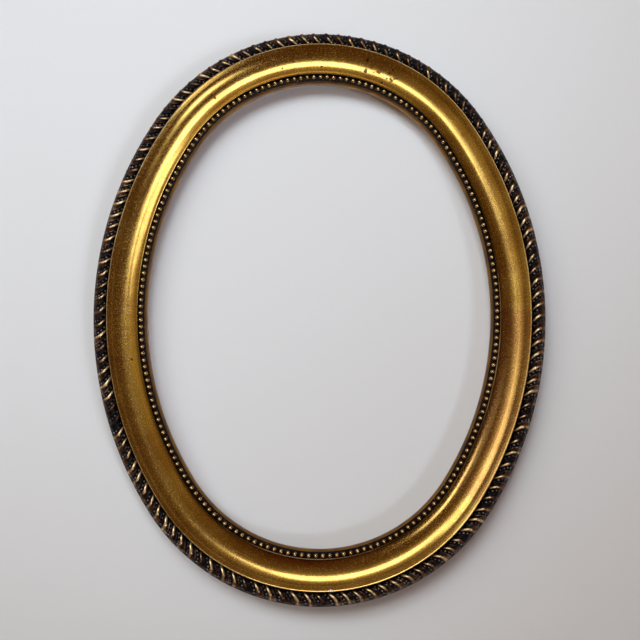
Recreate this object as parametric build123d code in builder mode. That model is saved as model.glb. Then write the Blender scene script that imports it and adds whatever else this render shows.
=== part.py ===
from build123d import *
from math import cos, degrees, hypot, radians, sin, sqrt, tan
import os

os.makedirs("parts", exist_ok=True)

# Oval picture frame, lying on its back: +Z out of its front, +Y towards its top, origin at the
# oval's centre on the back plane. Millimetres.

# Sight opening: a four-centre oval, so that every moulding is a set of plain arcs
sight_half_width = 109.5
sight_half_height = 149.15
side_arc_half_angle = 33.3

# Rail section, widths outwards from the sight edge
lip_width = 1.2
channel_width = 4.0
inner_arris_width = 0.7
scoop_width = 15.3
band_width = 1.9
outer_arris_width = 0.7
quirk_width = 1.2
rope_width = 7.4
ledge_width = 1.95
rebate_width = 5.5
fitting_step_width = 14.0

# Rail section, heights above the back plane
fitting_step_height = 4.2
shelf_height = 10.0
sight_edge_height = 11.6
lip_height = 14.0
channel_height = 13.4
inner_arris_height = 17.0
band_height = 19.2
outer_arris_height = 21.0
rope_seat_drop = 7.0
ledge_drop = 1.6
back_edge_chamfer = 0.8
scoop_depth = 2.8

# Rope ornament
strand_height = 4.2
ridge_height = 4.9
ridge_width = 2.3
ridge_slant = 40.0
rope_pitch = 7.8

# Bead ornament
bead_radius = 1.45
bead_pitch = 4.29
bead_strip_height = 0.6
bead_sink = 1.0

# Glue joints between the four arcs of the core
dowel_radius = 2.5
dowel_depth = 12.0
dowel_end_gap = 0.5
inner_dowel_inset = 13.0
inner_dowel_height = 9.0
outer_dowel_inset = 26.5
outer_dowel_height = 7.0

# Turn buttons and the screws they turn on
button_thickness = 1.2
button_head_radius = 4.5
button_tip_radius = 3.0
button_arm = 9.4
button_inset = 12.5
button_end_angle = 60.0
button_edge_round = 0.25

# Round-head wood screws, the same for buttons and hanger
screw_radius = 1.4
screw_head_radius = 2.9
screw_head_height = 1.3
screw_depth = 7.0
screw_point_length = 1.6
screw_slot_width = 0.8
screw_slot_depth = 0.6

# Hanging ring and its strap
ring_wire_radius = 0.9
ring_bar_length = 15.0
ring_top_length = 8.0
ring_reach = 10.2
ring_bar_corner = 1.9
ring_top_corner = 3.8
strap_width = 9.0
strap_thickness = 0.9
strap_tail = 3.4
strap_arm = 7.0
strap_inset = 9.9
pocket_width = 20.0
pocket_inset = 29.5
pocket_corner = 3.0

# Clearances
glue_gap = 0.05
strip_gap = 0.05
running_gap = 0.08
button_gap = 0.25
cut_overrun = 2.0

# The oval's four centres, from its half axes and the angle of its side arcs
half_turn = 180.0
quarter_turn = 90.0
slant_factor = 1 + tan(radians(side_arc_half_angle)) - 1 / cos(radians(side_arc_half_angle))
side_centre = (sight_half_height - sight_half_width) / slant_factor
end_centre = side_centre * tan(radians(side_arc_half_angle))
side_radius = sight_half_width + side_centre
end_radius = sight_half_height - end_centre
end_arc_half_angle = quarter_turn - side_arc_half_angle

# Distances of each moulding line from the sight edge
channel_outer = lip_width + channel_width
scoop_inner = channel_outer + inner_arris_width
scoop_outer = scoop_inner + scoop_width
arris_inner = scoop_outer + band_width
quirk_inner = arris_inner + outer_arris_width
rope_inner = quirk_inner + quirk_width
rope_outer = rope_inner + rope_width
rope_centre = rope_inner + rope_width / 2
rail_width = rope_outer + ledge_width
bead_centre = lip_width + channel_width / 2
rim_inner = rebate_width + fitting_step_width

# Heights of the steps outside the outer arris
rope_seat_height = outer_arris_height - rope_seat_drop
ledge_height = rope_seat_height - ledge_drop


def half_arcs():
    """The eight half arcs of the oval, counter-clockwise from the right: centre, sight radius,
    start angle and span, with the strips' joints at their shared axes."""
    side, end = side_arc_half_angle, end_arc_half_angle
    right, top = (-side_centre, 0), (0, end_centre)
    left, bottom = (side_centre, 0), (0, -end_centre)
    arcs = []
    start = 0
    for centre, radius, span in [
        (right, side_radius, side),
        (top, end_radius, end),
        (top, end_radius, end),
        (left, side_radius, side),
        (left, side_radius, side),
        (bottom, end_radius, end),
        (bottom, end_radius, end),
        (right, side_radius, side),
    ]:
        arcs.append((centre, radius, start, span))
        start += span
    return arcs


def upright_plane(centre, angle):
    """Upright plane through an arc's centre: local x runs outwards, local y runs up."""
    outward = (cos(radians(angle)), sin(radians(angle)), 0)
    along = (sin(radians(angle)), -cos(radians(angle)), 0)
    return Plane(origin=(*centre, 0), x_dir=outward, z_dir=along)


def spot(centre, radius, angle, height):
    """Location on an arc: local x runs outwards, local y counter-clockwise along the rail."""
    x = centre[0] + radius * cos(radians(angle))
    y = centre[1] + radius * sin(radians(angle))
    return Location((x, y, height), (0, 0, angle))


def along_quarter(quarter, inset, distance):
    """Centre, radius and angle at a distance along one quarter of the oval, at an inset line."""
    first, second = half_arcs()[2 * quarter : 2 * quarter + 2]
    (centre, radius, start, span) = first
    first_length = (radius + inset) * radians(span)
    if distance > first_length:
        (centre, radius, start, span) = second
        distance -= first_length
    return centre, radius + inset, start + degrees(distance / (radius + inset))


def quarter_length(quarter, inset):
    """Length of one quarter of the oval at an inset line."""
    pair = half_arcs()[2 * quarter : 2 * quarter + 2]
    return sum((radius + inset) * radians(span) for _, radius, _, span in pair)


def pattern_spots(quarter, inset, pitch, height, spare):
    """Evenly spaced places along a quarter, with some spare ones past each end."""
    length = quarter_length(quarter, inset)
    count = max(round(length / pitch), 1)
    places = []
    for step in range(-spare, count + spare):
        centre, radius, angle = along_quarter(quarter, inset, (step + 0.5) * length / count)
        places.append(spot(centre, radius, angle, height))
    return places


def arc_sagitta_radius(chord, sagitta):
    """Radius of an arc from its chord and its rise."""
    return (chord**2 / 4 + sagitta**2) / (2 * sagitta)


def rail_section(centre, radius, angle):
    """Section of the wooden rail, upright across one arc at an angle."""
    scoop_chord = hypot(scoop_width, band_height - inner_arris_height)
    scoop_radius = arc_sagitta_radius(scoop_chord, scoop_depth)
    with BuildSketch(upright_plane(centre, angle)) as section:
        with BuildLine():
            Polyline(
                (radius + rim_inner, fitting_step_height),
                (radius + rebate_width, fitting_step_height),
                (radius + rebate_width, shelf_height),
                (radius, shelf_height),
                (radius, sight_edge_height),
            )
            TangentArc((radius, sight_edge_height), (radius + lip_width, lip_height), tangent=(0, 1))
            Polyline(
                (radius + lip_width, lip_height),
                (radius + lip_width, channel_height),
                (radius + channel_outer, channel_height),
                (radius + channel_outer, inner_arris_height),
                (radius + scoop_inner, inner_arris_height),
            )
            RadiusArc(
                (radius + scoop_inner, inner_arris_height),
                (radius + scoop_outer, band_height),
                -scoop_radius,
            )
            Polyline(
                (radius + scoop_outer, band_height),
                (radius + arris_inner, outer_arris_height),
                (radius + quirk_inner, outer_arris_height),
                (radius + quirk_inner, rope_seat_height),
                (radius + rope_outer, rope_seat_height),
                (radius + rail_width, ledge_height),
                (radius + rail_width, back_edge_chamfer),
                (radius + rail_width - back_edge_chamfer, 0),
                (radius + rim_inner, 0),
                (radius + rim_inner, fitting_step_height),
            )
        make_face()
    return section.sketch


def rope_section(centre, radius, angle, height):
    """Round-topped section of the rope ornament on its flat seat."""
    base_in = (radius + rope_inner, rope_seat_height)
    crown = (radius + rope_centre, rope_seat_height + height)
    base_out = (radius + rope_outer, rope_seat_height)
    with BuildSketch(upright_plane(centre, angle)) as section:
        with BuildLine():
            ThreePointArc(base_in, crown, base_out)
            Line(base_out, base_in)
        make_face()
    return section.sketch


def bead_base_section(centre, radius, angle):
    """Flat strip under the beads, in the channel."""
    strip_inner = radius + lip_width + strip_gap
    strip_outer = radius + channel_outer - strip_gap
    strip_top = channel_height + bead_strip_height
    with BuildSketch(upright_plane(centre, angle)) as section:
        with BuildLine():
            Polyline(
                (strip_inner, channel_height),
                (strip_outer, channel_height),
                (strip_outer, strip_top),
                (strip_inner, strip_top),
                close=True,
            )
        make_face()
    return section.sketch


def upright_axis(centre):
    """Upright axis through an arc's centre."""
    return Axis((*centre, 0), (0, 0, 1))


# Places of the glue joints' dowels: two across each joint, along the rail
joint_ends = [half_arcs()[index] for index in (1, 3, 5, 7)]
dowel_spots = []
for centre, radius, start, span in joint_ends:
    for inset, height in [
        (inner_dowel_inset, inner_dowel_height),
        (outer_dowel_inset, outer_dowel_height),
    ]:
        along_rail = Location((0, 0, 0), (quarter_turn, 0, 0))
        dowel_spots.append(spot(centre, radius + inset, start, height) * along_rail)

# Places of the turn buttons: one at each side's middle, four on the end arcs
button_places = {
    "turn_button_right": ((-side_centre, 0), side_radius, 0),
    "turn_button_upper_right": ((0, end_centre), end_radius, button_end_angle),
    "turn_button_upper_left": ((0, end_centre), end_radius, half_turn - button_end_angle),
    "turn_button_left": ((side_centre, 0), side_radius, half_turn),
    "turn_button_lower_left": ((0, -end_centre), end_radius, half_turn + button_end_angle),
    "turn_button_lower_right": ((0, -end_centre), end_radius, -button_end_angle),
}
button_spots = {
    name: spot(centre, radius + button_inset, angle, fitting_step_height)
    for name, (centre, radius, angle) in button_places.items()
}
strap_spot = spot((0, end_centre), end_radius + strap_inset, quarter_turn, fitting_step_height)
pilot_spots = [*button_spots.values(), strap_spot]

# Wooden core: four arcs with dowel bores in their ends and pilot holes for the screws
core_arcs = {"core_right": 7, "core_top": 1, "core_left": 3, "core_bottom": 5}
for name, first_half in core_arcs.items():
    centre, radius, start, span = half_arcs()[first_half]
    with BuildPart() as core:
        revolve(rail_section(centre, radius, start), axis=upright_axis(centre), revolution_arc=2 * span)
        with Locations(*dowel_spots):
            Cylinder(dowel_radius + glue_gap, 2 * dowel_depth, mode=Mode.SUBTRACT)
        with Locations(*pilot_spots):
            Cylinder(
                screw_radius + glue_gap,
                screw_depth,
                align=(Align.CENTER, Align.CENTER, Align.MIN),
                mode=Mode.SUBTRACT,
            )
        if name == "core_top":
            pocket_start = end_centre + end_radius + strap_inset
            pocket_end = end_centre + end_radius + pocket_inset
            with BuildSketch(Plane.XY.offset(-cut_overrun)):
                with Locations((0, (pocket_start + pocket_end) / 2)):
                    RectangleRounded(pocket_width, pocket_end - pocket_start, pocket_corner)
            extrude(amount=cut_overrun + fitting_step_height, mode=Mode.SUBTRACT)
    core.part.label = name
    export_step(core.part, f"parts/{name}.step")

# Dowels across the glue joints
with BuildPart() as joint_dowels:
    with Locations(*dowel_spots):
        Cylinder(dowel_radius, 2 * (dowel_depth - dowel_end_gap))
joint_dowels.part.label = "joint_dowels"
export_step(joint_dowels.part, "parts/joint_dowels.step")

# Ornament, laid in four quarters whose joints lie on the oval's axes
quarters = ["upper_right", "upper_left", "lower_left", "lower_right"]
for quarter, place in enumerate(quarters):
    pair = half_arcs()[2 * quarter : 2 * quarter + 2]

    # Rope: slanted ridges stand a little above a plain round strand
    with BuildPart() as rope_strip:
        for centre, radius, start, span in pair:
            crest = rope_section(centre, radius, start, ridge_height)
            revolve(crest, axis=upright_axis(centre), revolution_arc=span)
        slanted = Location((0, 0, 0), (0, 0, ridge_slant))
        ridge_spots = pattern_spots(quarter, rope_centre, rope_pitch, rope_seat_height, spare=1)
        with Locations(*[ridge_spot * slanted for ridge_spot in ridge_spots]):
            Box(
                2 * rope_width,
                ridge_width,
                2 * (ridge_height + cut_overrun),
                mode=Mode.INTERSECT,
            )
        for centre, radius, start, span in pair:
            strand = rope_section(centre, radius, start, strand_height)
            revolve(strand, axis=upright_axis(centre), revolution_arc=span)
    rope_strip.part.label = f"rope_strip_{place}"
    export_step(rope_strip.part, f"parts/rope_strip_{place}.step")

    # Beads: pearls sunk a little into a flat strip
    bead_height = channel_height + bead_strip_height + bead_radius - bead_sink
    with BuildPart() as bead_strip:
        for centre, radius, start, span in pair:
            base = bead_base_section(centre, radius, start)
            revolve(base, axis=upright_axis(centre), revolution_arc=span)
        with Locations(*pattern_spots(quarter, bead_centre, bead_pitch, bead_height, spare=0)):
            Sphere(bead_radius)
        under_strip = Plane.XY.offset(channel_height)
        split(bisect_by=under_strip, keep=Keep.TOP)
    bead_strip.part.label = f"bead_strip_{place}"
    export_step(bead_strip.part, f"parts/bead_strip_{place}.step")

# Turn buttons: at rest each lies along the rail, clear of the rebate
for name, button_spot in button_spots.items():
    with BuildPart() as turn_button:
        with BuildSketch(Plane(button_spot).offset(-button_gap)):
            Circle(button_head_radius)
            with Locations((0, button_arm)):
                Circle(button_tip_radius)
            make_hull()
            Circle(screw_radius + running_gap, mode=Mode.SUBTRACT)
        extrude(amount=-button_thickness)
        outer_wires = [face.outer_wire() for face in faces().sort_by(Axis.Z)[:1]]
        fillet(outer_wires[0].edges(), radius=button_edge_round)
    turn_button.part.label = name
    export_step(turn_button.part, f"parts/{name}.step")


def wood_screw(head_seat):
    """Round-head wood screw, its head's flat side at head_seat and its point upwards."""
    head_end = head_seat - screw_head_height
    dome_radius = arc_sagitta_radius(2 * screw_head_radius, screw_head_height)
    with BuildPart() as screw:
        with BuildSketch(Plane.XZ):
            with BuildLine():
                Polyline(
                    (0, head_end),
                    (0, screw_depth),
                    (screw_radius, screw_depth - screw_point_length),
                    (screw_radius, head_seat),
                    (screw_head_radius, head_seat),
                )
                RadiusArc((screw_head_radius, head_seat), (0, head_end), dome_radius)
            make_face()
        revolve(axis=Axis.Z)
        with Locations((0, 0, head_end)):
            Box(2 * screw_head_radius, screw_slot_width, 2 * screw_slot_depth, mode=Mode.SUBTRACT)
    return screw.part


# Screws that the buttons turn on
button_screw = wood_screw(-button_thickness - 2 * button_gap)
with BuildPart() as turn_button_screws:
    with Locations(*button_spots.values()):
        add(button_screw)
turn_button_screws.part.label = "turn_button_screws"
export_step(turn_button_screws.part, "parts/turn_button_screws.step")

# Hanger: a strap rolled round the ring's bar, with the ring flat in its pocket
knuckle_radius = ring_wire_radius + running_gap + strap_thickness
knuckle_y = end_centre + end_radius + strap_inset + strap_arm
knuckle_z = fitting_step_height - knuckle_radius
tail_y = knuckle_y - strap_arm - strap_tail
strap_under = fitting_step_height - strap_thickness
roll_y = knuckle_y - sqrt(knuckle_radius**2 - (strap_under - knuckle_z) ** 2)
with BuildPart() as hanger_strap:
    with BuildSketch(Plane.YZ):
        with BuildLine():
            Polyline((roll_y, strap_under), (tail_y, strap_under), (tail_y, fitting_step_height))
            Line((tail_y, fitting_step_height), (knuckle_y, fitting_step_height))
            ThreePointArc(
                (knuckle_y, fitting_step_height),
                (knuckle_y, knuckle_z - knuckle_radius),
                (roll_y, strap_under),
            )
        make_face()
        with Locations((knuckle_y, knuckle_z)):
            Circle(ring_wire_radius + running_gap, mode=Mode.SUBTRACT)
    extrude(amount=strap_width / 2, both=True)
    with Locations(strap_spot):
        Cylinder(screw_radius + glue_gap, 2 * cut_overrun, mode=Mode.SUBTRACT)
hanger_strap.part.label = "hanger_strap"
export_step(hanger_strap.part, "parts/hanger_strap.step")

with BuildPart() as hanger_ring:
    with BuildLine(Plane.XY.offset(knuckle_z)) as ring_path:
        FilletPolyline(
            (0, knuckle_y),
            (ring_bar_length / 2, knuckle_y),
            (ring_top_length / 2, knuckle_y + ring_reach),
            (-ring_top_length / 2, knuckle_y + ring_reach),
            (-ring_bar_length / 2, knuckle_y),
            radius=[0, ring_bar_corner, ring_top_corner, ring_top_corner, ring_bar_corner],
            close=True,
        )
    with BuildSketch(Plane(origin=(0, knuckle_y, knuckle_z), x_dir=(0, 1, 0), z_dir=(1, 0, 0))):
        Circle(ring_wire_radius)
    sweep(path=ring_path.wire())
hanger_ring.part.label = "hanger_ring"
export_step(hanger_ring.part, "parts/hanger_ring.step")

strap_screw = wood_screw(-strap_thickness)
with BuildPart() as hanger_screw:
    with Locations(strap_spot):
        add(strap_screw)
hanger_screw.part.label = "hanger_screw"
export_step(hanger_screw.part, "parts/hanger_screw.step")
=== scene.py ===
"""Oval gilded picture frame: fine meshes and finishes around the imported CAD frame."""

import logging
import math
import random
from dataclasses import dataclass
from enum import Enum

import bmesh
import bpy
import numpy as np
from bpy.types import Material, NodeSocket, NodeTree, Object
from mathutils import Matrix, Vector


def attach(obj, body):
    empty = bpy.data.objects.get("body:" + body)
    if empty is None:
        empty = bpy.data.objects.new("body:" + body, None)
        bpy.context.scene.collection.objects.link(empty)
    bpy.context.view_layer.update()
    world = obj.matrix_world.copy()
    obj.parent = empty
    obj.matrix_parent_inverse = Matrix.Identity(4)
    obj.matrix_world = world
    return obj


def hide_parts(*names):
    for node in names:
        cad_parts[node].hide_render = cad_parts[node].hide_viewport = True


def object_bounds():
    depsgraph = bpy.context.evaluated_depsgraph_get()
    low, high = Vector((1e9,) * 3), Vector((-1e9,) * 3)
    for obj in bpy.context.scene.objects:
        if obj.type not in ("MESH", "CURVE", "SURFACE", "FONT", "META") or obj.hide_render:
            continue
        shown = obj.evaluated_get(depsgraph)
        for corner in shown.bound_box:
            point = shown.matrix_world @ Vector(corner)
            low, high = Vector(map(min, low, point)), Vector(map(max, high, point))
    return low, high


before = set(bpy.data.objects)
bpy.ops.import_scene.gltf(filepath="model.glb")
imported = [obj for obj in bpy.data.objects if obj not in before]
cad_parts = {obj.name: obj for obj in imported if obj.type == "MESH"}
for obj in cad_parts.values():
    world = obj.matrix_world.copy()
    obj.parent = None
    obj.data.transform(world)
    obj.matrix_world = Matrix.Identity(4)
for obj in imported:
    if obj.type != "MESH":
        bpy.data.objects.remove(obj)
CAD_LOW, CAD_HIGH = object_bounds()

LOG = logging.getLogger("oval_frame")
MM = 0.001
FULL_TURN = 2 * math.pi
QUARTER_TURN = math.pi / 2
QUARTERS = ["upper_right", "upper_left", "lower_left", "lower_right"]
BOLE = "#823408"
RUBBED_LEAF = "#DDBB6C"
# Dark brown of the dirt in the pits, used also for painted shade on the arrises
DIRT_AND_SHADE = "#1C0F06"
WASH_BLACK = "#080504"


class Slot(Enum):
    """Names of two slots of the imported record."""

    GILDED_WOOD = "gilded_wood"
    ORNAMENT = "compo_ornament"


class Zone(Enum):
    """Stretches of the rail's section, each with a finish of its own."""

    LIP = 0
    CHANNEL = 1
    GILT = 2
    QUIRK = 3
    LEDGE = 4
    BACK = 5


class MarkKind(Enum):
    """Kinds of damage on the gilding."""

    PIT = "pit"
    CHIP = "chip"


def linear(colour: str) -> tuple[float, float, float, float]:
    """Linear colour of an sRGB hex value.

    Args:
        colour: A hash sign and six hex digits.

    Returns:
        Linear red, green and blue with an opaque alpha.
    """
    channels = [int(colour[start:start + 2], 16) / 255 for start in (1, 3, 5)]
    red, green, blue = [c / 12.92 if c <= 0.04045 else ((c + 0.055) / 1.055) ** 2.4 for c in channels]
    return red, green, blue, 1.0


def per_metre(size: float) -> float:
    """Texture scale of a pattern whose features are size millimetres wide."""
    return 1 / (size * MM)


def add_node(tree: NodeTree, kind: str, inputs: dict | None = None, out: int | str = 0,
             **settings: object) -> NodeSocket | None:
    """Adds one node with its settings, values and links.

    Args:
        tree: Node tree that takes the node.
        kind: Blender's name for the kind of node.
        inputs: Socket name or number to a value, or to the output socket that feeds it.
        out: Name or number of the output socket to give back.
        settings: Properties of the node itself.

    Returns:
        That output socket, or None where the node has no outputs.
    """
    node = tree.nodes.new(kind)
    for name, value in settings.items():
        setattr(node, name, value)
    for socket, value in (inputs or {}).items():
        if isinstance(value, NodeSocket):
            tree.links.new(value, node.inputs[socket])
        else:
            node.inputs[socket].default_value = value
    return node.outputs[out] if len(node.outputs) else None


def new_material(name: str) -> Material:
    """An empty node material of that name.

    Args:
        name: Name of the material.

    Returns:
        The material, without nodes.
    """
    material = bpy.data.materials.new(name)
    material.use_nodes = True
    material.node_tree.nodes.clear()
    return material


def close_material(material: Material, shader: dict, height: NodeSocket, depth: float) -> Material:
    """Ends a material with its bump, its shader and the output.

    Args:
        material: Material to end.
        shader: Inputs of the Principled BSDF.
        height: Height that the bump follows, from 0 to 1.
        depth: Depth of the bump in millimetres.

    Returns:
        The same material.
    """
    tree = material.node_tree
    bump = add_node(tree, "ShaderNodeBump", {"Strength": 1.0, "Distance": depth * MM, "Height": height})
    bsdf = add_node(tree, "ShaderNodeBsdfPrincipled", {**shader, "Normal": bump})
    add_node(tree, "ShaderNodeOutputMaterial", {"Surface": bsdf})
    return material


@dataclass(frozen=True)
class Coat:
    """A colour over another one, as thick as a pattern says.

    The pattern's value low gives low_cover, its value high gives high_cover.
    """

    colour: str | NodeSocket
    low: float
    high: float
    high_cover: float | NodeSocket = 1.0
    low_cover: float | NodeSocket = 0.0
    smooth: bool = False

    def over(self, tree: NodeTree, under: str | NodeSocket,
             pattern: NodeSocket) -> tuple[NodeSocket, NodeSocket]:
        """Lays the coat over a colour.

        Args:
            tree: Node tree that takes the coat.
            under: Colour below, as a hex value or a socket.
            pattern: Pattern that the cover follows.

        Returns:
            The colour with its coat, and the cover.
        """
        below, above = [linear(shade) if isinstance(shade, str) else shade for shade in (under, self.colour)]
        cover = add_node(tree, "ShaderNodeMapRange", {
            "Value": pattern, "From Min": self.low, "From Max": self.high, "To Min": self.low_cover,
            "To Max": self.high_cover}, interpolation_type="SMOOTHSTEP" if self.smooth else "LINEAR")
        coated = add_node(tree, "ShaderNodeMix", {0: cover, 6: below, 7: above}, out=2, data_type="RGBA")
        return coated, cover


@dataclass(frozen=True)
class Oval:
    """The four-centre oval that every moulding follows, in millimetres.

    Directions are outward normals in radians, counter-clockwise from the right.
    """

    half_width: float
    half_height: float
    side_arc: float = math.radians(33.3)

    @property
    def end_arc(self) -> float:
        """Half angle of an end arc."""
        return QUARTER_TURN - self.side_arc

    @property
    def side_centre(self) -> float:
        """Distance of a side arc's centre from the middle."""
        slant = 1 + math.tan(self.side_arc) - 1 / math.cos(self.side_arc)
        return (self.half_height - self.half_width) / slant

    @property
    def end_centre(self) -> float:
        """Distance of an end arc's centre from the middle."""
        return self.side_centre * math.tan(self.side_arc)

    @property
    def side_radius(self) -> float:
        """Radius of a side arc at the sight edge."""
        return self.half_width + self.side_centre

    @property
    def end_radius(self) -> float:
        """Radius of an end arc at the sight edge."""
        return self.half_height - self.end_centre

    def points(self, direction: np.ndarray, across: np.ndarray, height: np.ndarray) -> np.ndarray:
        """Points on the rail, in millimetres.

        Args:
            direction: Outward normal at each point.
            across: Distance outwards from the sight edge.
            height: Height above the back plane.

        Returns:
            Array of the broadcast shape with x, y, z last.
        """
        direction, across, height = np.broadcast_arrays(direction, across, height)
        cosine, sine = np.cos(direction), np.sin(direction)
        on_side = np.abs(sine) <= math.sin(self.side_arc) + 1e-9
        radius = np.where(on_side, self.side_radius, self.end_radius) + across
        x = radius * cosine - np.where(on_side, self.side_centre * np.sign(cosine), 0)
        y = radius * sine + np.where(on_side, 0, self.end_centre * np.sign(sine))
        return np.stack([x, y, height], axis=-1)

    def length(self, across: float) -> float:
        """Length once round the oval at a distance from the sight edge."""
        return 4 * ((self.side_radius + across) * self.side_arc + (self.end_radius + across) * self.end_arc)

    def arc_ends(self, across: float) -> tuple[np.ndarray, np.ndarray]:
        """Ends of the half arcs once round the oval.

        Args:
            across: Distance of the measured line from the sight edge.

        Returns:
            Direction and distance along the line at each end, both from zero.
        """
        turns = [self.side_arc, self.end_arc, self.end_arc, self.side_arc] * 2
        radii = [self.side_radius, self.end_radius, self.end_radius, self.side_radius] * 2
        lengths = [(radius + across) * turn for radius, turn in zip(radii, turns)]
        return np.cumsum([0, *turns]), np.cumsum([0, *lengths])

    def direction_at(self, distance: np.ndarray, across: float) -> np.ndarray:
        """Outward normals at distances along the oval.

        Args:
            distance: Millimetres counter-clockwise from the right end of the short axis.
            across: Distance of the measured line from the sight edge.

        Returns:
            Direction of each place, in radians.
        """
        directions, marks = self.arc_ends(across)
        rounds = np.floor(distance / marks[-1])
        return np.interp(distance - rounds * marks[-1], marks, directions) + rounds * FULL_TURN

    def distance_at(self, direction: np.ndarray) -> np.ndarray:
        """Millimetres along the sight edge at each direction, as direction_at counts them.

        Args:
            direction: Outward normal at each place.

        Returns:
            Distance of each place from the right end of the short axis.
        """
        directions, marks = self.arc_ends(0)
        rounds = np.floor(direction / FULL_TURN)
        return np.interp(direction - rounds * FULL_TURN, directions, marks) + rounds * marks[-1]

    def rail_coordinates(self, direction: np.ndarray, across: np.ndarray) -> np.ndarray:
        """Pattern coordinates in metres that run along the rail without a seam.

        Args:
            direction: Outward normal at each point.
            across: Distance across the rail, measured on its surface.

        Returns:
            The way round laid on a circle of the same length, and the way across as third value.
        """
        direction, across = np.broadcast_arrays(direction, across)
        around = self.length(0)
        turn = self.distance_at(direction) / around * FULL_TURN
        radius = around / FULL_TURN
        return np.stack([radius * np.cos(turn), radius * np.sin(turn), across], axis=-1) * MM


@dataclass(frozen=True)
class Mark:
    """A pit or chip in the gilding, placed by its direction in degrees and its distance across."""

    kind: MarkKind
    direction: float
    across: float
    radius: float


class PieceMesh:
    """Collects vertices, faces and attributes of one piece and makes its object."""

    def __init__(self, name: str) -> None:
        """An empty piece of that name.

        Args:
            name: Name of the object and its mesh.
        """
        self.name = name
        self.vertices: list[np.ndarray] = []
        self.faces: list[tuple[int, ...]] = []
        self.zones: list[int] = []
        self.values: dict[str, list[np.ndarray]] = {}
        self.count = 0

    def add(self, vertices: np.ndarray, faces: list[tuple[int, ...]], zones: list[int],
            **values: np.ndarray) -> None:
        """Adds one closed shell.

        Args:
            vertices: Points in millimetres, one row each.
            faces: Corner numbers within this shell.
            zones: Material number of each face.
            values: One number or vector per point for each named attribute.
        """
        self.vertices.append(vertices)
        self.faces += [tuple(corner + self.count for corner in face) for face in faces]
        self.zones += zones
        for name, value in values.items():
            self.values.setdefault(name, []).append(value)
        self.count += len(vertices)

    def finish(self, materials: list[Material], crease: float) -> Object:
        """Makes the object, with smooth shading and outward normals.

        Args:
            materials: Materials by zone number.
            crease: Angle in degrees above which an edge stays sharp.

        Returns:
            The new object, in the row frame.
        """
        mesh = bpy.data.meshes.new(self.name)
        mesh.from_pydata((np.concatenate(self.vertices) * MM).tolist(), [], self.faces)
        for material in materials:
            mesh.materials.append(material)
        mesh.polygons.foreach_set("material_index", self.zones)
        for name, parts in self.values.items():
            joined = np.concatenate(parts)
            kind, key = ("FLOAT_VECTOR", "vector") if joined.ndim == 2 else ("FLOAT", "value")
            mesh.attributes.new(name, kind, "POINT").data.foreach_set(key, joined.astype(np.float32).ravel())
        work = bmesh.new()
        work.from_mesh(mesh)
        bmesh.ops.recalc_face_normals(work, faces=work.faces)
        work.to_mesh(mesh)
        work.free()
        mesh.shade_smooth()
        mesh.set_sharp_from_angle(angle=math.radians(crease))
        piece = bpy.data.objects.new(self.name, mesh)
        bpy.context.scene.collection.objects.link(piece)
        LOG.info("%s: %d points, %d faces", self.name, len(mesh.vertices), len(mesh.polygons))
        return piece


def sweep_faces(stations: int, corners: int, zones: list[int]) -> tuple[list[tuple[int, ...]], list[int]]:
    """Faces of a closed section swept along a line, with both ends closed.

    Args:
        stations: Number of places along the line.
        corners: Number of points of the section, which closes on itself.
        zones: Zone of each side of the section.

    Returns:
        The faces and the zone of each.
    """
    faces: list[tuple[int, ...]] = []
    face_zones: list[int] = []
    for row in range(stations - 1):
        here, there = row * corners, (row + 1) * corners
        for column in range(corners):
            after = (column + 1) % corners
            faces.append((here + column, here + after, there + after, there + column))
        face_zones += zones
    last = (stations - 1) * corners
    faces += [tuple(range(corners)), tuple(range(last + corners - 1, last - 1, -1))]
    return faces, face_zones + [Zone.BACK.value] * 2


def pearl_template(rings: int, sides: int) -> tuple[np.ndarray, list[tuple[int, ...]]]:
    """A unit pearl with its poles upright.

    Args:
        rings: Rings of points between the poles.
        sides: Points in each ring.

    Returns:
        Points and faces.
    """
    rise = np.pi * np.arange(1, rings + 1) / (rings + 1)
    turn = FULL_TURN * np.arange(sides) / sides
    ring = np.stack([
        np.outer(np.sin(rise), np.cos(turn)),
        np.outer(np.sin(rise), np.sin(turn)),
        np.outer(np.cos(rise), np.ones(sides)),
    ], axis=-1).reshape(-1, 3)
    points = np.concatenate([ring, [[0, 0, 1], [0, 0, -1]]])
    faces: list[tuple[int, ...]] = []
    for row in range(rings - 1):
        for side in range(sides):
            after = (side + 1) % sides
            here, there = row * sides, (row + 1) * sides
            faces.append((here + side, there + side, there + after, here + after))
    top, bottom, last = rings * sides, rings * sides + 1, (rings - 1) * sides
    for side in range(sides):
        after = (side + 1) % sides
        faces += [(top, side, after), (bottom, last + after, last + side)]
    return points, faces


def rounded(corners: list[tuple[float, float, float]], steps: int) -> np.ndarray:
    """A line with rounded corners.

    Args:
        corners: Across, height and corner radius of each corner; the ends stay as they are.
        steps: Points on each rounded corner.

    Returns:
        Points of the line, one row each.
    """
    line = [np.array(corners[0][:2])]
    for before, corner, after in zip(corners, corners[1:], corners[2:]):
        middle = np.array(corner[:2])
        if corner[2] == 0:
            line.append(middle)
            continue
        towards = [np.array(end[:2]) - middle for end in (before, after)]
        start, stop = [middle + corner[2] * way / np.hypot(*way) for way in towards]
        for share in np.linspace(0, 1, steps):
            line.append((1 - share) ** 2 * start + 2 * share * (1 - share) * middle + share ** 2 * stop)
    line.append(np.array(corners[-1][:2]))
    return np.array(line)


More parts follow.
